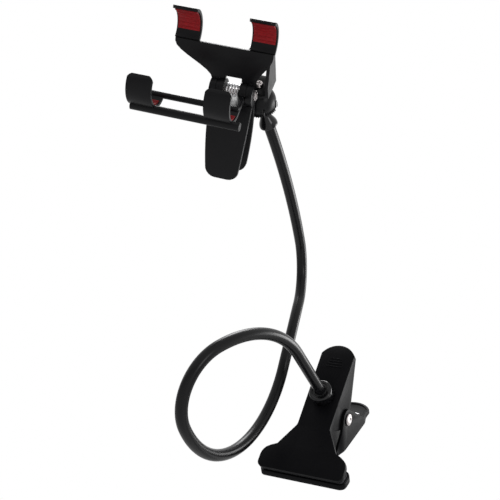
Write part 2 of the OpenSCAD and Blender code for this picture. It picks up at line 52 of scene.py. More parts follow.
class Slot(Enum):
    """The record's material slots."""

    CLAMP = "clamp_plastic"
    CLIP = "clip_plastic"
    GREY_RUBBER = "grey_rubber"
    SHEATH = "neck_sheath"
    GLOSS = "gloss_black"
    SEAT = "seat_plastic"
    RED_RUBBER = "red_rubber"
    BRIGHT_STEEL = "bright_steel"
    SPRING_STEEL = "spring_steel"


class Body(Enum):
    """The bodies that the pieces ride on."""

    CLAMP = "clamp_and_arm"
    REAR = "rear_clamp"
    BALL = "ball"
    CLIP_BACK = "clip_back"
    CLIP_FRONT = "clip_front"


# Shader groups


def feed(tree: bpy.types.NodeTree, entry: bpy.types.NodeSocket, value: object) -> None:
    """Links a socket to an input, or sets the input.

    Args:
        tree: The tree of the input's node.
        entry: The input.
        value: A socket, a number or a colour.
    """
    if isinstance(value, bpy.types.NodeSocket):
        tree.links.new(value, entry)
    else:
        entry.default_value = (*value, 1.0) if isinstance(value, tuple) else value


def maths(tree: bpy.types.NodeTree, operation: str, *values: object) -> bpy.types.NodeSocket:
    """Adds a Math node.

    Args:
        tree: The tree it goes into.
        operation: The node's operation.
        values: A socket or a number for each of its inputs.

    Returns:
        The node's output.
    """
    node = tree.nodes.new("ShaderNodeMath")
    node.operation = operation
    for entry, value in zip(node.inputs, values):
        feed(tree, entry, value)
    return node.outputs[0]


def noise(tree: bpy.types.NodeTree, vector: object, scale: object, detail: float) -> bpy.types.NodeSocket:
    """Adds a Noise Texture node.

    Args:
        tree: The tree it goes into.
        vector: The socket of its coordinates.
        scale: A socket or a number.
        detail: Its detail.

    Returns:
        The node's output.
    """
    node = tree.nodes.new("ShaderNodeTexNoise")
    node.inputs["Detail"].default_value = detail
    feed(tree, node.inputs["Vector"], vector)
    feed(tree, node.inputs["Scale"], scale)
    return node.outputs["Fac"]


def new_group(
    name: str, inputs: dict[str, float | None], outputs: dict[str, str]
) -> tuple[bpy.types.NodeTree, bpy.types.Node, bpy.types.Node]:
    """Starts a shader group.

    Args:
        name: The group's name.
        inputs: The name of each input, with a float's first value, or None for a vector.
        outputs: The name of each output, with its kind, Float or Vector.

    Returns:
        The group, its input node and its output node.
    """
    tree = bpy.data.node_groups.new(name, "ShaderNodeTree")
    for label, value in inputs.items():
        kind = "NodeSocketVector" if value is None else "NodeSocketFloat"
        made = tree.interface.new_socket(name=label, in_out="INPUT", socket_type=kind)
        if value is not None:
            made.default_value = value
    for label, kind in outputs.items():
        tree.interface.new_socket(name=label, in_out="OUTPUT", socket_type=f"NodeSocket{kind}")
    return tree, tree.nodes.new("NodeGroupInput"), tree.nodes.new("NodeGroupOutput")


def moulded_grain() -> bpy.types.NodeTree:
    """Builds the spark-eroded grain of a mould: a height, and a fleck for the colour.

    Returns:
        The shader group.
    """
    fine_per_pit = 1.7
    fleck_per_pit = 0.06
    pit_share = 0.7
    fine_share = 0.5
    tree, ins, outs = new_group(
        "moulded_grain", {"Vector": None, "Size": 0.0006}, {"Height": "Float", "Fleck": "Float"}
    )
    vector = ins.outputs["Vector"]
    scale = maths(tree, "DIVIDE", 1.0, ins.outputs["Size"])
    cells = tree.nodes.new("ShaderNodeTexVoronoi")
    cells.feature = "SMOOTH_F1"
    feed(tree, cells.inputs["Vector"], vector)
    feed(tree, cells.inputs["Scale"], scale)
    fine = noise(tree, vector, maths(tree, "MULTIPLY", scale, fine_per_pit), 3.0)
    fleck = noise(tree, vector, maths(tree, "MULTIPLY", scale, fleck_per_pit), 2.0)
    pits = maths(tree, "MULTIPLY", cells.outputs["Distance"], pit_share)
    height = maths(tree, "ADD", pits, maths(tree, "MULTIPLY", fine, fine_share))
    feed(tree, outs.inputs["Height"], height)
    feed(tree, outs.inputs["Fleck"], fleck)
    return tree


def handled_gloss() -> bpy.types.NodeTree:
    """Builds the uneven gloss that handling leaves, as a roughness.

    Returns:
        The shader group.
    """
    wide_scale = 70.0
    streak_scale = 420.0
    streak_share = 0.4
    average = 0.7
    tree, ins, outs = new_group(
        "handled_gloss", {"Vector": None, "Base": 0.4, "Spread": 0.1}, {"Roughness": "Float"}
    )
    wide = noise(tree, ins.outputs["Vector"], wide_scale, 4.0)
    streak = noise(tree, ins.outputs["Vector"], streak_scale, 2.0)
    both = maths(tree, "ADD", wide, maths(tree, "MULTIPLY", streak, streak_share))
    centred = maths(tree, "SUBTRACT", both, average)
    change = maths(tree, "MULTIPLY", centred, ins.outputs["Spread"])
    feed(tree, outs.inputs["Roughness"], maths(tree, "ADD", ins.outputs["Base"], change))
    return tree


def rubbed_edge() -> bpy.types.NodeTree:
    """Builds the wear of an edge: a mask where edges are rubbed, and a normal that rounds them.

    Returns:
        The shader group.
    """
    contrast = 2.0
    tree, ins, outs = new_group("rubbed_edge", {"Radius": 0.0004}, {"Mask": "Float", "Normal": "Vector"})
    round_over = tree.nodes.new("ShaderNodeBevel")
    round_over.samples = 6
    feed(tree, round_over.inputs["Radius"], ins.outputs["Radius"])
    shape = tree.nodes.new("ShaderNodeNewGeometry")
    dot = tree.nodes.new("ShaderNodeVectorMath")
    dot.operation = "DOT_PRODUCT"
    feed(tree, dot.inputs[0], round_over.outputs["Normal"])
    feed(tree, dot.inputs[1], shape.outputs["Normal"])
    apart = maths(tree, "SUBTRACT", 1.0, dot.outputs["Value"])
    feed(tree, outs.inputs["Mask"], maths(tree, "MULTIPLY", apart, contrast))
    feed(tree, outs.inputs["Normal"], round_over.outputs["Normal"])
    return tree


def cross_ribs() -> bpy.types.NodeTree:
    """Builds fine ribs along the first axis of a vector: a height from 0 to 1.

    Returns:
        The shader group.
    """
    tree, ins, outs = new_group("cross_ribs", {"Vector": None, "Pitch": 0.001}, {"Height": "Float"})
    split = tree.nodes.new("ShaderNodeSeparateXYZ")
    feed(tree, split.inputs[0], ins.outputs["Vector"])
    turns = maths(tree, "DIVIDE", split.outputs["X"], ins.outputs["Pitch"])
    wave = maths(tree, "SINE", maths(tree, "MULTIPLY", turns, 2 * math.pi))
    feed(tree, outs.inputs["Height"], maths(tree, "MULTIPLY_ADD", wave, 0.5, 0.5))
    return tree


@dataclass
class Effects:
    """The shader groups that the finishes share."""

    grain: bpy.types.NodeTree = field(default_factory=moulded_grain)
    gloss: bpy.types.NodeTree = field(default_factory=handled_gloss)
    edge: bpy.types.NodeTree = field(default_factory=rubbed_edge)
    ribs: bpy.types.NodeTree = field(default_factory=cross_ribs)


# Finishes


@dataclass(frozen=True)
class Finish:
    """One finish: its colours, its gloss and its relief, at real scale."""

    name: str
    colour: Triple
    worn: Triple
    roughness: float
    spread: float = 0.12
    grain_mm: float = 0.6
    depth_mm: float = 0.02
    edge_mm: float = 0.4
    wear: float = 0.5
    metallic: float = 0.0
    specular: float = 0.5
    fleck_tone: float = 1.35
    # The next two set painted shade: how strongly the grain's pits darken, and the tone they darken to.
    pit_shade: float = 0.0
    pit_shade_tone: float = 0.2
    rib_mm: float = 0.0
    rib_depth_mm: float = 0.0

    def build(self, effects: Effects) -> bpy.types.Material:
        """Makes the material.

        Args:
            effects: The shared shader groups.

        Returns:
            The material.
        """
        material = bpy.data.materials.new(self.name)
        material.use_nodes = True
        tree = material.node_tree
        tree.nodes.clear()
        out = tree.nodes.new("ShaderNodeOutputMaterial")
        shader = tree.nodes.new("ShaderNodeBsdfPrincipled")
        feed(tree, out.inputs["Surface"], shader.outputs[0])
        coords = tree.nodes.new("ShaderNodeTexCoord").outputs
        grain = self.group(tree, effects.grain, {"Vector": coords["Object"], "Size": self.grain_mm * MM})
        gloss = self.group(
            tree, effects.gloss, {"Vector": coords["Object"], "Base": self.roughness, "Spread": self.spread}
        )
        edge = self.group(tree, effects.edge, {"Radius": self.edge_mm * MM})
        normal = self.bump(tree, grain["Height"], edge["Normal"], self.depth_mm)
        if self.rib_mm:
            ribs = self.group(tree, effects.ribs, {"Vector": coords["UV"], "Pitch": self.rib_mm * MM})
            normal = self.bump(tree, ribs["Height"], normal, self.rib_depth_mm)
        for name, value in (
            ("Metallic", self.metallic),
            ("Specular IOR Level", self.specular),
            ("Roughness", gloss["Roughness"]),
            ("Base Color", self.tone(tree, grain, edge)),
            ("Normal", normal),
        ):
            feed(tree, shader.inputs[name], value)
        return material

    def tone(
        self, tree: bpy.types.NodeTree, grain: bpy.types.NodeOutputs, edge: bpy.types.NodeOutputs
    ) -> bpy.types.NodeSocket:
        """Mixes the colour from flecks, painted shade in the pits of the grain and rubbed edges.

        Args:
            tree: The material's tree.
            grain: The grain's outputs.
            edge: The rubbed edges' outputs.

        Returns:
            The colour.
        """
        tone = self.mix(tree, grain["Fleck"], self.colour, self.shade(self.fleck_tone))
        # Painted shade: the colour darkens in the pits of the grain, where the relief is lowest.
        if self.pit_shade:
            pits = maths(tree, "MULTIPLY", maths(tree, "SUBTRACT", 1.0, grain["Height"]), self.pit_shade)
            tone = self.mix(tree, pits, tone, self.shade(self.pit_shade_tone))
        return self.mix(tree, maths(tree, "MULTIPLY", edge["Mask"], self.wear), tone, self.worn)

    def shade(self, factor: float) -> Triple:
        """Returns the finish's colour, lighter or darker by a factor."""
        return tuple(c * factor for c in self.colour)

    @staticmethod
    def group(
        tree: bpy.types.NodeTree, shared: bpy.types.NodeTree, values: dict[str, object]
    ) -> bpy.types.NodeOutputs:
        """Places a shared group in the material.

        Args:
            tree: The material's tree.
            shared: The group.
            values: A socket or a number for each of its inputs.

        Returns:
            The outputs of its node.
        """
        node = tree.nodes.new("ShaderNodeGroup")
        node.node_tree = shared
        for name, value in values.items():
            feed(tree, node.inputs[name], value)
        return node.outputs

    @staticmethod
    def bump(
        tree: bpy.types.NodeTree, height: object, normal: object, depth_mm: float
    ) -> bpy.types.NodeSocket:
        """Adds a Bump node.

        Args:
            tree: The material's tree.
            height: The socket of the relief.
            normal: The socket of the normal under it.
            depth_mm: The relief's depth.

        Returns:
            The new normal.
        """
        node = tree.nodes.new("ShaderNodeBump")
        node.inputs["Distance"].default_value = depth_mm * MM
        feed(tree, node.inputs["Height"], height)
        feed(tree, node.inputs["Normal"], normal)
        return node.outputs["Normal"]

    @staticmethod
    def mix(tree: bpy.types.NodeTree, factor: object, first: object, second: object) -> bpy.types.NodeSocket:
        """Mixes two colours.

        Args:
            tree: The material's tree.
            factor: The mask.
            first: A colour or a socket, where the mask is 0.
            second: A colour or a socket, where the mask is 1.

        Returns:
            The mixed colour.
        """
        node = tree.nodes.new("ShaderNodeMix")
        node.data_type = "RGBA"
        for place, value in ((0, factor), (6, first), (7, second)):
            feed(tree, node.inputs[place], value)
        return node.outputs[2]


FINISHES = {
    Slot.CLAMP: Finish(
        "clamp_plastic", (0.0034, 0.0034, 0.004), (0.01, 0.01, 0.011), 0.42,
        grain_mm=0.55, depth_mm=0.025, edge_mm=0.3, wear=0.6, specular=0.036,
    ),
    Slot.CLIP: Finish(
        "clip_plastic", (0.0036, 0.0036, 0.0042), (0.012, 0.012, 0.013), 0.36,
        grain_mm=0.4, depth_mm=0.01, edge_mm=0.3, wear=0.5, specular=0.13,
    ),
    Slot.GREY_RUBBER: Finish(
        "grey_rubber", (0.03, 0.03, 0.034), (0.06, 0.06, 0.064), 0.7,
        grain_mm=0.35, depth_mm=0.03, edge_mm=0.3, wear=0.5, specular=0.2,
    ),
    Slot.SHEATH: Finish(
        "neck_sheath", (0.0035, 0.0035, 0.004), (0.008, 0.008, 0.009), 0.27,
        spread=0.08, grain_mm=0.5, depth_mm=0.003, edge_mm=0.1, wear=0.0, specular=0.16,
        rib_mm=1.6, rib_depth_mm=0.0015,
    ),
    Slot.GLOSS: Finish(
        "gloss_black", (0.0035, 0.0035, 0.004), (0.01, 0.01, 0.011), 0.14,
        spread=0.06, grain_mm=0.5, depth_mm=0.002, edge_mm=0.2, wear=0.3, specular=0.3,
    ),
    Slot.SEAT: Finish(
        "seat_plastic", (0.11, 0.11, 0.115), (0.2, 0.2, 0.2), 0.5,
        grain_mm=0.4, depth_mm=0.01, edge_mm=0.2, wear=0.3,
    ),
    Slot.RED_RUBBER: Finish(
        "red_rubber", (0.26, 0.003, 0.006), (0.45, 0.012, 0.02), 0.5,
        grain_mm=0.9, depth_mm=0.12, edge_mm=0.25, wear=0.5, specular=0.2, pit_shade=0.9,
    ),
    Slot.BRIGHT_STEEL: Finish(
        "bright_steel", (0.44, 0.41, 0.405), (0.6, 0.58, 0.57), 0.3,
        spread=0.14, grain_mm=0.8, depth_mm=0.006, edge_mm=0.3, wear=0.5, metallic=1.0,
    ),
    Slot.SPRING_STEEL: Finish(
        "spring_steel", (0.5, 0.5, 0.51), (0.65, 0.65, 0.66), 0.3,
        spread=0.16, grain_mm=0.5, depth_mm=0.008, edge_mm=0.2, wear=0.4, metallic=1.0,
    ),
}

CAD_FINISHES = {
    "socket_washer": Slot.BRIGHT_STEEL,
    "socket_nut": Slot.BRIGHT_STEEL,
    "neck_ferrule": Slot.BRIGHT_STEEL,
    "ball_seat": Slot.SEAT,
    "cup_screw": Slot.BRIGHT_STEEL,
    "clip_pin": Slot.BRIGHT_STEEL,
    "clip_pin_cap": Slot.BRIGHT_STEEL,
    "lower_left_pad": Slot.RED_RUBBER,
    "lower_right_pad": Slot.RED_RUBBER,
}


# Making pieces


def rounded(mesh: bmesh.types.BMesh, edges: list, radius: float) -> list:
    """Rounds edges.

    Args:
        mesh: The mesh.
        edges: Its edges to round.
        radius: The radius, in millimetres.

    Returns:
        The new faces.
    """
    done = bmesh.ops.bevel(
        mesh, geom=edges, offset=radius * MM, offset_type="OFFSET", segments=2, profile=0.5,
        affect="EDGES", clamp_overlap=True, material=-1,
    )
    return done["faces"]


@dataclass
class Workshop:
    """Makes pieces from meshes and gives them their finish and body."""

    effects: Effects = field(default_factory=Effects)
    materials: dict[Slot, bpy.types.Material] = field(default_factory=dict)
    weld_m: float = 5e-5
    flat_deg: float = 0.6
    crease_deg: float = 34.0
    most_corners: int = 4

    def finish(self, slot: Slot) -> bpy.types.Material:
        """Gives the material of a slot, built at its first use.

        Args:
            slot: The slot.

        Returns:
            Its material.
        """
        if slot not in self.materials:
            self.materials[slot] = FINISHES[slot].build(self.effects)
        return self.materials[slot]

    def dress(self, node: str, slot: Slot) -> None:
        """Gives a CAD node its finish.

        Args:
            node: The CAD node.
            slot: Its finish.
        """
        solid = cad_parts[node]
        if not solid.material_slots:
            solid.data.materials.append(None)
        for place in solid.material_slots:
            place.material = self.finish(slot)
        LOG.info("dressed %s", node)

    def piece(
        self, name: str, mesh: bmesh.types.BMesh, body: Body, slot: Slot, node: str = "", sharp: float = 35.0,
        merge: float = 1e-6,
    ) -> None:
        """Turns a mesh into a piece.

        Args:
            name: The piece's name.
            mesh: Its shape, in metres, in place. It is freed.
            body: The body it rides on.
            slot: Its finish.
            node: The CAD node it stands for, if any.
            sharp: Edges over this many degrees stay sharp.
            merge: Corners closer than this many metres become one.
        """
        bmesh.ops.remove_doubles(mesh, verts=mesh.verts, dist=merge)
        bmesh.ops.recalc_face_normals(mesh, faces=mesh.faces)
        data = bpy.data.meshes.new(name)
        mesh.to_mesh(data)
        mesh.free()
        for face in data.polygons:
            face.use_smooth = True
        data.set_sharp_from_angle(angle=math.radians(sharp))
        made = bpy.data.objects.new(name, data)
        bpy.context.scene.collection.objects.link(made)
        made.data.materials.append(self.finish(slot))
        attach(made, body.value)
        if node:
            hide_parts(node)
        LOG.info("made %s: %d faces", name, len(data.polygons))

    def soften(
        self, node: str, name: str, body: Body, slot: Slot, radius: float, move: Move | None = None
    ) -> None:
        """Copies a CAD node, rounds its sharp edges and lets the copy stand for it.

        Args:
            node: The CAD node.
            name: The piece's name.
            body: The body it rides on.
            slot: Its finish.
            radius: The radius of the edges, in millimetres.
            move: Changes a corner's place before the edges are rounded.
        """
        mesh = bmesh.new()
        mesh.from_mesh(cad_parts[node].data)
        bmesh.ops.remove_doubles(mesh, verts=mesh.verts, dist=self.weld_m)
        bmesh.ops.recalc_face_normals(mesh, faces=mesh.faces)
        bmesh.ops.dissolve_limit(
            mesh, angle_limit=math.radians(self.flat_deg), use_dissolve_boundaries=False, verts=mesh.verts,
            edges=mesh.edges, delimit=set(),
        )
        if move:
            for corner in mesh.verts:
                corner.co = move(corner.co / MM) * MM
        crease = math.radians(self.crease_deg)
        rounded(mesh, [e for e in mesh.edges if e.is_manifold and e.calc_face_angle() > crease], radius)
        bmesh.ops.triangulate(mesh, faces=[f for f in mesh.faces if len(f.verts) > self.most_corners])
        self.piece(name, mesh, body, slot, node, sharp=50, merge=0.0)


def turned(profile: Profile, steps: int = 96) -> bmesh.types.BMesh:
    """Turns a profile about Z into a closed shell.

    Args:
        profile: Radius and height of each corner, in millimetres.
        steps: Steps of the full turn.

    Returns:
        The shell, in metres.
    """
    mesh = bmesh.new()
    corners = [mesh.verts.new((r * MM, 0.0, z * MM)) for r, z in profile]
    edges = [mesh.edges.new(pair) for pair in zip(corners, corners[1:])]
    bmesh.ops.spin(
        mesh, geom=corners + edges, cent=(0, 0, 0), axis=(0, 0, 1), dvec=(0, 0, 0),
        angle=2 * math.pi, steps=steps, use_merge=True, use_normal_flip=False, use_duplicate=False,
    )
    bmesh.ops.remove_doubles(mesh, verts=mesh.verts, dist=1e-7)
    return mesh


def arc(centre: tuple[float, float], radius: float, start: float, end: float, steps: int) -> Profile:
    """Returns the corners of an arc, its angles in degrees."""
    angles = [math.radians(start + (end - start) * i / steps) for i in range(steps + 1)]
    return [(centre[0] + radius * math.cos(a), centre[1] + radius * math.sin(a)) for a in angles]


def ease(t: float) -> float:
    """Returns a smooth step from 0 to 1."""
    return t * t * (3 - 2 * t)


def placed(mesh: bmesh.types.BMesh, where: Matrix, corners: Iterable | None = None) -> bmesh.types.BMesh:
    """Moves a mesh in metres into a frame whose lengths are in millimetres.

    Args:
        mesh: The mesh.
        where: The frame.
        corners: The corners to move, or none for all.

    Returns:
        The mesh.
    """
    metres = where.copy()
    metres.translation = where.translation * MM
    bmesh.ops.transform(mesh, matrix=metres, verts=corners or mesh.verts)
    return mesh


def rib(mesh: bmesh.types.BMesh, size: Vector, at: Matrix, rounding: float = 0.3) -> None:
    """Adds one small rib with rounded edges.

    Args:
        mesh: The mesh it goes into.
        size: Its sides, in millimetres.
        at: Its place, in millimetres.
        rounding: The radius of its edges, as a share of its shortest side.
    """
    block = bmesh.ops.create_cube(mesh, size=MM)["verts"]
    bmesh.ops.scale(mesh, vec=size, verts=block)
    faces = rounded(mesh, list({e for v in block for e in v.link_edges}), min(size) * rounding)
    placed(mesh, at, list({v for f in faces for v in f.verts}))


def wire(paths: list[list[Vector]], radius: float, where: Matrix) -> bmesh.types.BMesh:
    """Makes round wire along one path or more.

    Args:
        paths: The centre line of each run of wire, in millimetres.
        radius: Its radius, in millimetres.
        where: The frame of the paths.

    Returns:
        The wire's closed shells, in metres.
    """
    curve = bpy.data.curves.new("wire_path", "CURVE")
    curve.dimensions = "3D"
    curve.bevel_depth = radius * MM
    curve.bevel_resolution = 5
    curve.use_fill_caps = True
    for path in paths:
        line = curve.splines.new("POLY")
        line.points.add(len(path) - 1)
        for point, at in zip(line.points, path):
            point.co = (*((where @ at) * MM), 1.0)
    guide = bpy.data.objects.new("wire_guide", curve)
    bpy.context.scene.collection.objects.link(guide)
    ready = guide.evaluated_get(bpy.context.evaluated_depsgraph_get())
    mesh = bmesh.new()
    mesh.from_mesh(ready.to_mesh())
    ready.to_mesh_clear()
    bpy.data.objects.remove(guide)
    return mesh


def coil(radius: float, x0: float, x1: float, a0: float, a1: float, step_deg: float = 7.5) -> list[Vector]:
    """Winds a coil about X.

    Args:
        radius: Its radius.
        x0: Where it starts along X.
        x1: Where it ends along X.
        a0: The angle at which it starts, in degrees from Y towards Z.
        a1: The angle at which it ends.
        step_deg: The angle from one point to the next.

    Returns:
        The points of its centre line.
    """
    steps = max(8, round(abs(a1 - a0) / step_deg))
    points = []
    for i in range(steps + 1):
        a = math.radians(a0 + (a1 - a0) * i / steps)
        points.append(Vector((x0 + (x1 - x0) * i / steps, radius * math.cos(a), radius * math.sin(a))))
    return points


# The holder's own frames, as its solids have them, in millimetres and degrees


@dataclass(frozen=True)
class Layout:
    """Where the sub-assemblies sit."""

    pivot: Vector = Vector((0.0, 13.576, 50.0))
    lean: float = 15.190886
    pivot_d: float = 19.9
    socket_up: float = 6.0
    neck_lead: float = 58.0
    bends: tuple[Triple, ...] = (
        (-110, 79, 63), (3, 34, 105), (-17, 72, 121), (-153, 86, 39), (164, 30, 100), (-85, 805, 8),
    )
    stud_l: float = 21.0
    clip_turn: Triple = (26, 17, 166)
    ball_at: Vector = Vector((22.0, 5.2, -53.8))
    cup_lean: float = 20.0
    hinge_back: float = 35.0

    def at_pivot(self) -> Matrix:
        """Returns the frame of the clamp's pivot."""
        return Matrix.Translation(self.pivot)

    def at_rear(self) -> Matrix:
        """Mirrors the pivot's frame for the clamp's rear half.

        Returns:
            The mirrored frame.
        """
        a = math.radians(self.lean)
        normal = Vector((0, math.cos(a), -math.sin(a)))
        flip = Matrix.Identity(3) - 2 * Matrix([normal * c for c in normal])
        return self.at_pivot() @ flip.to_4x4()

    def at_socket(self) -> Matrix:
        """Returns the frame of the arm's socket, Z out of the front plate."""
        offset = Vector((0, -self.pivot_d, self.socket_up))
        return Matrix.Translation(self.pivot + offset) @ Matrix.Rotation(math.radians(90), 4, "X")

    def bend_starts(self) -> list[Matrix]:
        """Follows the arm from bend to bend. A bend is stated by its turn, radius and angle.

        Returns:
            The frame in which each bend starts, and last the arm's end.
        """
        at = self.at_socket() @ Matrix.Translation((0, 0, self.neck_lead))
        places = []
        for turn, radius, angle in self.bends:
            a = math.radians(angle)
            at = at @ Matrix.Rotation(math.radians(turn), 4, "Z")
            places.append(at)
            at = at @ Matrix.Translation((radius * (1 - math.cos(a)), 0, radius * math.sin(a)))
            at = at @ Matrix.Rotation(a, 4, "Y")
        return places + [at]

    def at_neck_end(self) -> Matrix:
        """Returns the frame of the arm's end, Z along the arm."""
        return self.bend_starts()[-1]

    def in_clip(self) -> Matrix:
        """Finds the clip's frame from the ball at the arm's end.

        Returns:
            The frame, X from claw to claw, Y up and Z out of its face.
        """
        turn = Euler([math.radians(a) for a in self.clip_turn], "XYZ").to_matrix().to_4x4()
        ball = self.at_neck_end() @ Matrix.Translation((0, 0, self.stud_l))
        return ball @ turn @ Matrix.Translation(-self.ball_at)

    def at_cup(self) -> Matrix:
        """Returns the frame of the ball cup, Z along its line."""
        cup = self.in_clip() @ Matrix.Translation(self.ball_at)
        return cup @ Matrix.Rotation(math.radians(180 - self.cup_lean), 4, "X")

    def at_hinge(self) -> Matrix:
        """Returns the frame of the clip's hinge."""
        return self.in_clip() @ Matrix.Translation((0, 0, -self.hinge_back))


LAYOUT = Layout()


# Sub-assemblies, in millimetres and degrees


@dataclass
class Arm:
    """The bendable arm: one sheath along a straight lead and round bends."""

    radius: float = 4.0
    inside: float = 2.0
    tip: float = 3.0
    sides: int = 40
    step_mm: float = 2.2
    fewest_in_bend: int = 4
    fewest_in_line: int = 2
    slack_rad: float = 0.01

    def build(self, shop: Workshop) -> None:
        """Sweeps the sheath's ring along the arm and dresses it.

        Args:
            shop: The workshop.
        """
        mesh = bmesh.new()
        uv = mesh.loops.layers.uv.new("along")
        ring = bmesh.ops.create_circle(mesh, cap_ends=False, segments=self.sides, radius=self.radius * MM)
        placed(mesh, LAYOUT.at_socket() @ Matrix.Translation((0, 0, self.inside)))
        edges = list({e for v in ring["verts"] for e in v.link_edges})
        bmesh.ops.edgeloop_fill(mesh, edges=edges)
        out = (LAYOUT.at_socket().to_3x3() @ Vector((0, 0, 1))) * MM
        edges, done = self.straight(mesh, uv, edges, out, LAYOUT.neck_lead - self.inside, 0.0)
        for where, (_, radius, angle) in zip(LAYOUT.bend_starts(), LAYOUT.bends):
            length = radius * math.radians(angle)
            steps = max(self.fewest_in_bend, round(length / self.step_mm))
            known = set(mesh.faces)
            swept = bmesh.ops.spin(
                mesh, geom=edges, cent=where @ Vector((radius, 0, 0)) * MM,
                axis=where.to_3x3() @ Vector((0, 1, 0)), dvec=(0, 0, 0), angle=math.radians(angle),
                steps=steps, use_merge=False, use_normal_flip=False, use_duplicate=False,
            )
            edges = [e for e in swept["geom_last"] if isinstance(e, bmesh.types.BMEdge)]
            self.unroll([f for f in mesh.faces if f not in known], uv, where, radius, done)
            done += length
        out = (LAYOUT.at_neck_end().to_3x3() @ Vector((0, 0, 1))) * MM
        edges, done = self.straight(mesh, uv, edges, out, self.tip, done)
        bmesh.ops.edgeloop_fill(mesh, edges=edges)
        shop.piece("arm_sheath", mesh, Body.CLAMP, Slot.SHEATH, "gooseneck", sharp=50)

    def straight(
        self, mesh: bmesh.types.BMesh, uv: object, edges: list, out: Vector, length: float, done: float
    ) -> tuple[list, float]:
        """Draws the ring out along a line.

        Args:
            mesh: The sheath so far.
            uv: Its layer of lengths along the arm.
            edges: The last ring.
            out: One millimetre along the arm.
            length: How far.
            done: Length of the arm so far.

        Returns:
            The new last ring, and the length of the arm so far.
        """
        steps = max(self.fewest_in_line, round(length / self.step_mm))
        for i in range(steps):
            drawn = bmesh.ops.extrude_edge_only(mesh, edges=edges)["geom"]
            verts = [g for g in drawn if isinstance(g, bmesh.types.BMVert)]
            bmesh.ops.translate(mesh, verts=verts, vec=out * length / steps)
            new = set(verts)
            edges = [g for g in drawn if isinstance(g, bmesh.types.BMEdge) and new.issuperset(g.verts)]
            for face in (g for g in drawn if isinstance(g, bmesh.types.BMFace)):
                for loop in face.loops:
                    along = done + length * (i + (loop.vert in new)) / steps
                    loop[uv].uv = (along * MM, 0.0)
        return edges, done + length

    def unroll(self, faces: list, uv: object, where: Matrix, radius: float, done: float) -> None:
        """Writes the length along the arm into a bend's faces.

        Args:
            faces: The bend's faces.
            uv: The layer of lengths.
            where: The frame in which the bend starts.
            radius: The bend's radius.
            done: Length of the arm before the bend.
        """
        inverse = where.inverted()
        for face in faces:
            for loop in face.loops:
                local = inverse @ (loop.vert.co / MM)
                angle = math.atan2(local.z, radius - local.x)
                if angle < -self.slack_rad:
                    angle += 2 * math.pi
                loop[uv].uv = ((done + radius * angle) * MM, 0.0)


@dataclass
class BallStud:
    """The trumpet-shaped stud and its ball."""

    wide: float = 12.7
    waist: float = 5.7
    ball_r: float = 8.75
    pocket_r: float = 4.3
    pocket: float = 4.3
    bore_r: float = 1.65
    bore_l: float = 7.3
    land: float = 1.0
    rim_r: float = 0.6
    chamfer: float = 0.3
    flare_steps: int = 24

    def build(self, shop: Workshop) -> None:
        """Turns the stud and dresses it.

        Args:
            shop: The workshop.
        """
        length = LAYOUT.stud_l
        waist_z = length - self.ball_r - self.land
        flare = []
        for i in range(self.flare_steps + 1):
            t = i / self.flare_steps
            radius = (self.wide + (self.waist - self.wide) * ease(t)) / 2
            flare.append((radius, self.land + (waist_z - self.land) * t))
        low = -math.degrees(math.acos(self.waist / 2 / self.ball_r))
        ball = arc((0, length), self.ball_r, low, 90, steps=40)
        ball[-1] = (0.0, length + self.ball_r)
        end = self.pocket + self.bore_l
        profile = [(0.0, end), (self.bore_r, end), (self.bore_r, self.pocket), (self.pocket_r, self.pocket)]
        profile += [(self.pocket_r, self.chamfer), (self.pocket_r + self.chamfer, 0.0)]
        profile += arc((self.wide / 2 - self.rim_r, self.rim_r), self.rim_r, -90, 0, steps=5)
        mesh = placed(turned(profile + flare + ball), LAYOUT.at_neck_end())
        shop.piece("stud_and_ball", mesh, Body.BALL, Slot.GLOSS, "ball_stud", sharp=40)


@dataclass
class ArmSocket:
    """The round socket of the arm, with its rolled rim and threaded shank."""

    radius: float = 8.5
    height: float = 9.0
    depth: float = 7.0
    foot_r: float = 0.4
    shoulder_r: float = 1.3
    rim: tuple[tuple[float, float], ...] = ((-2.2, 0.0), (-2.5, -0.15), (-2.7, -0.8))
    hole: float = 4.05
    hole_lip: tuple[tuple[float, float], ...] = (
        (1.1, -0.8), (0.8, -0.1), (0.6, 0.0), (0.2, 0.0), (0.0, -0.3),
    )
    shank: float = 4.0
    shank_end: float = -8.4
    chamfer: float = 0.6
    pitch: float = 1.25
    threads: int = 5
    crest: float = 0.3
    groove: float = 0.45

    def thread(self) -> Profile:
        """Outlines the shank from its end to the plate.

        Returns:
            Its corners.
        """
        start = self.shank_end + self.chamfer
        outline = [(0.0, self.shank_end), (self.shank - self.chamfer, self.shank_end)]
        for i in range(self.threads):
            z = start + i * self.pitch
            outline += [(self.shank, z), (self.shank, z + self.crest)]
            outline.append((self.shank - self.groove, z + self.pitch / 2 + self.crest / 2))
        return outline + [(self.shank, start + self.threads * self.pitch), (self.shank, 0.0)]

    def build(self, shop: Workshop) -> None:
        """Turns the socket and dresses it.

        Args:
            shop: The workshop.
        """
        r, h = self.radius, self.height
        profile = self.thread()
        profile += arc((r - self.foot_r, self.foot_r), self.foot_r, -90, 0, steps=4)
        profile += arc((r - self.shoulder_r, h - self.shoulder_r), self.shoulder_r, 0, 90, steps=8)
        profile += [(r + over, h + up) for over, up in self.rim]
        profile += [(self.hole + over, h + up) for over, up in self.hole_lip]
        profile += [(self.hole, h - self.depth), (0.0, h - self.depth)]
        mesh = placed(turned(profile), LAYOUT.at_socket())
        shop.piece("arm_socket", mesh, Body.CLAMP, Slot.GLOSS, "neck_socket")


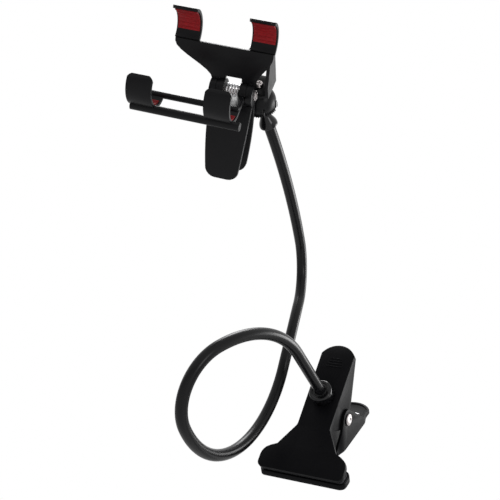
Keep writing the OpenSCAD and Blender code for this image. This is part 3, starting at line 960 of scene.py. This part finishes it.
@dataclass
class Rivet:
    """The clamp's rivet, with domed and dimpled heads."""

    shaft: float = 2.5
    half: float = 15.35
    head: float = 4.3
    rise: float = 1.3
    side: float = 0.35
    dome_from: float = 2.0
    dome_steps: int = 7
    dimple: tuple[tuple[float, float], ...] = ((1.7, 0.0), (1.1, -0.5), (0.0, -0.65))

    def build(self, shop: Workshop) -> None:
        """Turns the rivet and dresses it.

        Args:
            shop: The workshop.
        """
        end = [(self.shaft, self.half), (self.head, self.half), (self.head, self.half + self.side)]
        for i in range(1, self.dome_steps):
            a = math.radians(90 * i / self.dome_steps)
            radius = self.dome_from + (self.head - self.dome_from) * math.cos(a)
            end.append((radius, self.half + self.side + (self.rise - self.side) * math.sin(a)))
        end += [(radius, self.half + self.rise + up) for radius, up in self.dimple]
        profile = [(r, -z) for r, z in reversed(end)] + end
        across = LAYOUT.at_pivot() @ Matrix.Rotation(math.radians(90), 4, "Y")
        mesh = placed(turned(profile, steps=64), across)
        shop.piece("rivet", mesh, Body.CLAMP, Slot.BRIGHT_STEEL, "clamp_rivet")


@dataclass
class ClampSpring:
    """The clamp's double torsion spring."""

    wire_d: float = 1.9
    coil_r: float = 5.0
    turns: int = 3
    gap: float = 0.25
    width: float = 20.0
    leg: float = 27.0
    rear_leg: float = 36.3
    bar_half: float = 8.2
    touch: float = 16.25

    def leg_point(self, rear: bool, x: float) -> Vector:
        """Finds the place where a leg rests on its plate.

        Args:
            rear: True for the rear plate.
            x: The leg's place along the pivot.

        Returns:
            The place.
        """
        z = math.sqrt((self.rear_leg if rear else self.leg) ** 2 - self.touch**2)
        if not rear:
            return Vector((x, -self.touch, z))
        a = math.radians(2 * LAYOUT.lean)
        y = self.touch * math.cos(a) + z * math.sin(a)
        return Vector((x, y, z * math.cos(a) - self.touch * math.sin(a)))

    def coil_angle(self, at: Vector, side: int) -> float:
        """Returns the angle at which a leg leaves the coil."""
        return math.degrees(math.atan2(at.z, at.y) - side * math.acos(self.coil_r / math.hypot(at.y, at.z)))

    def build(self, shop: Workshop) -> None:
        """Winds the spring and dresses it.

        Args:
            shop: The workshop.
        """
        outer = (self.width - self.wire_d) / 2
        inner = outer - (self.wire_d + self.gap) * self.turns
        front = self.leg_point(False, outer)
        rear = self.leg_point(True, inner)
        start = self.coil_angle(front, -1)
        end = self.coil_angle(rear, 1) - 360 * self.turns
        winding = coil(self.coil_r, outer, inner, start, end)
        coils = [front] + winding
        back = [winding[-1], Vector((self.bar_half, rear.y, rear.z))]
        mesh = wire([coils, self.other_side(coils)], self.wire_d / 2, LAYOUT.at_pivot())
        shop.piece("clamp_spring_coils", mesh, Body.CLAMP, Slot.SPRING_STEEL, "clamp_spring")
        mesh = wire([back + self.other_side(reversed(back))], self.wire_d / 2, LAYOUT.at_pivot())
        shop.piece("clamp_spring_bar", mesh, Body.REAR, Slot.SPRING_STEEL, "clamp_spring")

    @staticmethod
    def other_side(points: Iterable[Vector]) -> list[Vector]:
        """Returns the points on the other side of the clamp's middle."""
        return [Vector((-p.x, p.y, p.z)) for p in points]


@dataclass
class ClipSpring:
    """The clip's torsion spring."""

    wire_d: float = 0.95
    coil_r: float = 4.6
    turns: int = 5
    leg: float = 19.0
    first: float = 3.6
    last: float = 12.4
    lift: float = 2.4133
    root: float = 9.5
    root_lift: float = 1.64
    lap: int = 8
    low_turn: float = -115.0
    high_turn: float = -150.0

    @staticmethod
    def leg_point(turn: float, along: float, x: float, off: float) -> Vector:
        """Returns a point of a leg on the inner face of a handle."""
        a = math.radians(turn)
        return Vector((x, along * math.sin(a) + off * math.cos(a), along * math.cos(a) - off * math.sin(a)))

    def tangent(self, at: Vector, side: int) -> float:
        """Returns the angle at which the coil meets a line to a point of a leg."""
        return math.degrees(math.atan2(at.z, at.y) + side * math.acos(self.coil_r / math.hypot(at.y, at.z)))

    def build(self, shop: Workshop) -> None:
        """Winds the spring and dresses it.

        Args:
            shop: The workshop.
        """
        low = [
            self.leg_point(self.low_turn, self.leg, self.first, -self.lift),
            self.leg_point(self.low_turn, self.root, self.first, -self.root_lift),
        ]
        high = [
            self.leg_point(self.high_turn, self.root, self.last, self.root_lift),
            self.leg_point(self.high_turn, self.leg, self.last, self.lift),
        ]
        start = self.tangent(low[1], 1)
        end = self.tangent(high[0], -1) + 360 * self.turns
        winding = coil(self.coil_r, self.first, self.last, start, end)
        mesh = wire([winding + high], self.wire_d / 2, LAYOUT.at_hinge())
        shop.piece("clip_spring_coil", mesh, Body.CLIP_BACK, Slot.SPRING_STEEL, "clip_spring")
        mesh = wire([low + winding[: self.lap]], self.wire_d / 2, LAYOUT.at_hinge())
        shop.piece("clip_spring_leg", mesh, Body.CLIP_FRONT, Slot.SPRING_STEEL, "clip_spring")


@dataclass
class Clamp:
    """The clamp's two halves and their rubber pads, with rounded edges and lobed jaws."""

    edge_r: float = 0.45
    pad_edge_r: float = 0.2
    wall: float = 2.4
    ear: float = 7.5
    rear_cheek: float = 0.6
    notch: float = 18.7
    waist: float = 12.6
    bell: float = 32.7
    full: float = 45.5
    lobe_r: float = 9.2
    lobe_x: float = 23.5
    lobe_z: float = 46.0
    slope: float = 0.6

    def old_side(self, z: float) -> float:
        """Returns half the width of the solid jaw at a height under the notch."""
        share = min(1.0, (-z - self.notch) / (self.full - self.notch))
        return self.waist + (self.bell - self.waist) * ease(share)

    def new_side(self, z: float) -> float:
        """Finds half the width of the lobed jaw.

        Args:
            z: A height under the notch.

        Returns:
            Half the width there.
        """
        straight = self.waist + (-z - self.notch) * self.slope
        rise = self.lobe_r**2 - (z + self.lobe_z) ** 2
        lobe = self.lobe_x + math.sqrt(rise) if rise > 0 else 0.0
        return min(max(straight, lobe), self.bell)

    def lobed(self, frame_in: Matrix, cheek: float) -> Move:
        """Prepares the move that gives a jaw its lobes and lowers its handle's cheeks.

        Args:
            frame_in: The frame of the clamp half.
            cheek: The share of the cheeks' depth that goes by the end of the handle.

        Returns:
            The move.
        """
        back = frame_in.inverted()

        def move(at: Vector) -> Vector:
            """Moves a corner.

            Args:
                at: The corner, in millimetres.

            Returns:
                Its new place.
            """
            local = back @ at
            if -self.full < local.z < -self.notch:
                local.x *= self.new_side(local.z) / self.old_side(local.z)
            deep = local.y + LAYOUT.pivot_d - self.wall
            if local.z > self.ear and deep > 0:
                local.y -= deep * cheek * ease(min(1.0, (local.z - self.ear) / self.ear))
            return frame_in @ local

        return move

    def build(self, shop: Workshop) -> None:
        """Rounds and dresses the four pieces.

        Args:
            shop: The workshop.
        """
        for end, where, body, cheek in (
            ("front", LAYOUT.at_pivot(), Body.CLAMP, 0.0),
            ("rear", LAYOUT.at_rear(), Body.REAR, self.rear_cheek),
        ):
            move = self.lobed(where, cheek)
            shop.soften(f"{end}_jaw", f"{end}_shell", body, Slot.CLAMP, self.edge_r, move)
            shop.soften(f"{end}_jaw_pad", f"{end}_rubber", body, Slot.GREY_RUBBER, self.pad_edge_r, move)


@dataclass
class Clip:
    """The clip's two jaws, its upper pads and its cup, with rounded edges."""

    edge_r: float = 0.4
    pad_edge_r: float = 0.06
    cup_edge_r: float = 0.25
    claw_up: float = 20.4
    claw_back: float = 2.0
    claw_side: float = 0.05
    lip: float = 0.42

    def short_lip(self, at: Vector) -> Vector:
        """Draws the front of an upper claw back, so that its lip is short and its red pad shows.

        Args:
            at: A corner of the claw or its pad, in millimetres.

        Returns:
            Its new place.
        """
        frame_in = LAYOUT.in_clip()
        p = frame_in.inverted() @ at
        out = Vector((p.y - self.claw_up, p.z + self.claw_back))
        turn = math.atan2(out.y, out.x)
        if turn <= 0 or out.x < -self.claw_side:
            return at
        turn *= self.lip
        y = self.claw_up + out.length * math.cos(turn)
        return frame_in @ Vector((p.x, y, out.length * math.sin(turn) - self.claw_back))

    def build(self, shop: Workshop) -> None:
        """Rounds and dresses the pieces.

        Args:
            shop: The workshop.
        """
        upper, move = Body.CLIP_BACK, self.short_lip
        shop.soften("clip_upper_jaw", "upper_jaw_shell", upper, Slot.CLIP, self.edge_r, move)
        for side in ("left", "right"):
            name = f"upper_{side}_grip"
            shop.soften(f"upper_{side}_pad", name, upper, Slot.RED_RUBBER, self.pad_edge_r, move)
        shop.soften("clip_lower_jaw", "lower_jaw_shell", Body.CLIP_FRONT, Slot.CLIP, self.edge_r)
        shop.soften("ball_cup", "cup_shell", Body.CLIP_BACK, Slot.CLIP, self.cup_edge_r)


@dataclass
class Trim:
    """Moulded details: finger ribs on the clamp's handles and grip ribs round the cup's rim."""

    finger_rib: Triple = (13.0, 0.6, 0.9)
    shorter: float = 1.5
    pitch: float = 2.2
    ribs: int = 4
    first_z: float = 31.0
    rim_rib: Triple = (0.5, 0.6, 0.9)
    rim_r: float = 11.3
    rim_z: float = 4.3
    rim_ribs: int = 48
    petals: int = 6
    slit_room: float = 1.1

    def build(self, shop: Workshop) -> None:
        """Makes the ribs and dresses them.

        Args:
            shop: The workshop.
        """
        self.fingers(shop, "front_finger_ribs", Body.CLAMP, LAYOUT.at_pivot())
        self.fingers(shop, "rear_finger_ribs", Body.REAR, LAYOUT.at_rear())
        self.rim(shop)

    def fingers(self, shop: Workshop, name: str, body: Body, where: Matrix) -> None:
        """Makes the ribs under the fingers, each shorter than the one below it.

        Args:
            shop: The workshop.
            name: The piece's name.
            body: The body it rides on.
            where: The frame of the clamp half.
        """
        mesh = bmesh.new()
        length, depth, height = self.finger_rib
        for i in range(self.ribs):
            at = where @ Matrix.Translation((0, -LAYOUT.pivot_d, self.first_z + i * self.pitch))
            rib(mesh, Vector((length - self.shorter * i, depth, height)), at)
        shop.piece(name, mesh, body, Slot.CLAMP)

    def rim(self, shop: Workshop) -> None:
        """Makes the ribs round the cup's rim, clear of its slits.

        Args:
            shop: The workshop.
        """
        cup = LAYOUT.at_cup()
        mesh = bmesh.new()
        for i in range(self.rim_ribs):
            share = (i + 0.5) / self.rim_ribs
            from_slit = abs((share * self.petals + 0.5) % 1 - 0.5) / self.petals
            if from_slit * 2 * math.pi * self.rim_r > self.slit_room:
                around = Matrix.Rotation(2 * math.pi * share, 4, "Z")
                at = cup @ around @ Matrix.Translation((self.rim_r, 0, self.rim_z))
                rib(mesh, Vector(self.rim_rib), at)
        shop.piece("cup_rim_ribs", mesh, Body.CLIP_BACK, Slot.CLIP)


# Studio, in metres


@dataclass(frozen=True)
class Lamp:
    """A square area lamp: its place, the length of its sides and its power in watts."""

    name: str
    at: Triple
    size: float
    power: float


@dataclass
class Studio:
    """Floor, background, lights and camera."""

    floor_z: float = -0.34
    floor_half: float = 8.0
    paper: float = 0.86
    paper_roughness: float = 0.9
    soft_light: float = 0.55
    lamps: tuple[Lamp, ...] = (
        Lamp("key", (0.62, 0.62, 0.62), 0.5, 7.0),
        Lamp("top", (-0.3, -0.1, 0.95), 0.45, 6.0),
        Lamp("side", (0.85, -0.45, -0.05), 0.3, 1.6),
    )
    aim: Vector = Vector((-0.02, -0.1, 0.07))
    camera_at: Vector = Vector((0.2669, -0.5504, -0.2084))
    right: Vector = Vector((0.869, 0.359, 0.340))
    up: Vector = Vector((-0.059, -0.608, 0.792))
    back: Vector = Vector((0.491, -0.708, -0.507))
    lens_mm: float = 64.8
    sensor_mm: float = 36.0
    nearest: float = 0.01

    def build(self) -> None:
        """Sets up the whole studio."""
        self.floor()
        self.background()
        for lamp in self.lamps:
            self.light(lamp)
        self.camera()

    def floor(self) -> None:
        """Makes the pale floor."""
        mesh = bmesh.new()
        bmesh.ops.create_grid(mesh, x_segments=8, y_segments=8, size=self.floor_half)
        bmesh.ops.translate(mesh, verts=mesh.verts, vec=(0, 0, self.floor_z))
        data = bpy.data.meshes.new("floor")
        mesh.to_mesh(data)
        mesh.free()
        ground = bpy.data.objects.new("floor", data)
        bpy.context.scene.collection.objects.link(ground)
        paper = bpy.data.materials.new("floor_paper")
        paper.use_nodes = True
        shader = paper.node_tree.nodes["Principled BSDF"]
        shader.inputs["Base Color"].default_value = (self.paper, self.paper, self.paper, 1.0)
        shader.inputs["Roughness"].default_value = self.paper_roughness
        data.materials.append(paper)

    def background(self) -> None:
        """Makes a white background for the camera and reflections, and soft light for the rest."""
        world = bpy.data.worlds.new("studio")
        bpy.context.scene.world = world
        world.use_nodes = True
        tree = world.node_tree
        tree.nodes.clear()
        out = tree.nodes.new("ShaderNodeOutputWorld")
        sky = tree.nodes.new("ShaderNodeBackground")
        ray = tree.nodes.new("ShaderNodeLightPath")
        seen = maths(tree, "MAXIMUM", ray.outputs["Is Camera Ray"], ray.outputs["Is Glossy Ray"])
        seen = maths(tree, "MAXIMUM", seen, ray.outputs["Is Transmission Ray"])
        level = maths(tree, "MULTIPLY", seen, 1 - self.soft_light)
        feed(tree, sky.inputs["Strength"], maths(tree, "ADD", level, self.soft_light))
        sky.inputs["Color"].default_value = (1.0, 1.0, 1.0, 1.0)
        feed(tree, out.inputs["Surface"], sky.outputs[0])

    def light(self, lamp: Lamp) -> None:
        """Adds a lamp aimed at the object.

        Args:
            lamp: The lamp.
        """
        light = bpy.data.lights.new(lamp.name, "AREA")
        light.size = lamp.size
        light.energy = lamp.power
        made = bpy.data.objects.new(lamp.name, light)
        made.location = lamp.at
        made.rotation_euler = (self.aim - Vector(lamp.at)).to_track_quat("-Z", "Y").to_euler()
        bpy.context.scene.collection.objects.link(made)

    def camera(self) -> None:
        """Adds the camera, from below and to the right of the clamp."""
        lens = bpy.data.cameras.new("camera")
        lens.lens = self.lens_mm
        lens.sensor_width = self.sensor_mm
        lens.clip_start = self.nearest
        eye = bpy.data.objects.new("camera", lens)
        turn = Matrix((self.right, self.up, self.back)).transposed()
        eye.matrix_world = Matrix.Translation(self.camera_at) @ turn.to_4x4()
        bpy.context.scene.collection.objects.link(eye)
        bpy.context.scene.camera = eye


def main() -> None:
    """Builds and dresses the holder, then sets up the studio."""
    logging.basicConfig(level=logging.INFO, format="%(name)s %(message)s")
    shop = Workshop()
    for node, slot in CAD_FINISHES.items():
        shop.dress(node, slot)
    for part in (
        Clamp(), Clip(), Arm(), ArmSocket(), Rivet(), ClampSpring(), BallStud(), ClipSpring(), Trim(),
    ):
        part.build(shop)
        LOG.info("finished %s", type(part).__name__)
    Studio().build()
    bpy.context.scene.view_settings.view_transform = "Standard"


if __name__ == "__main__":
    main()
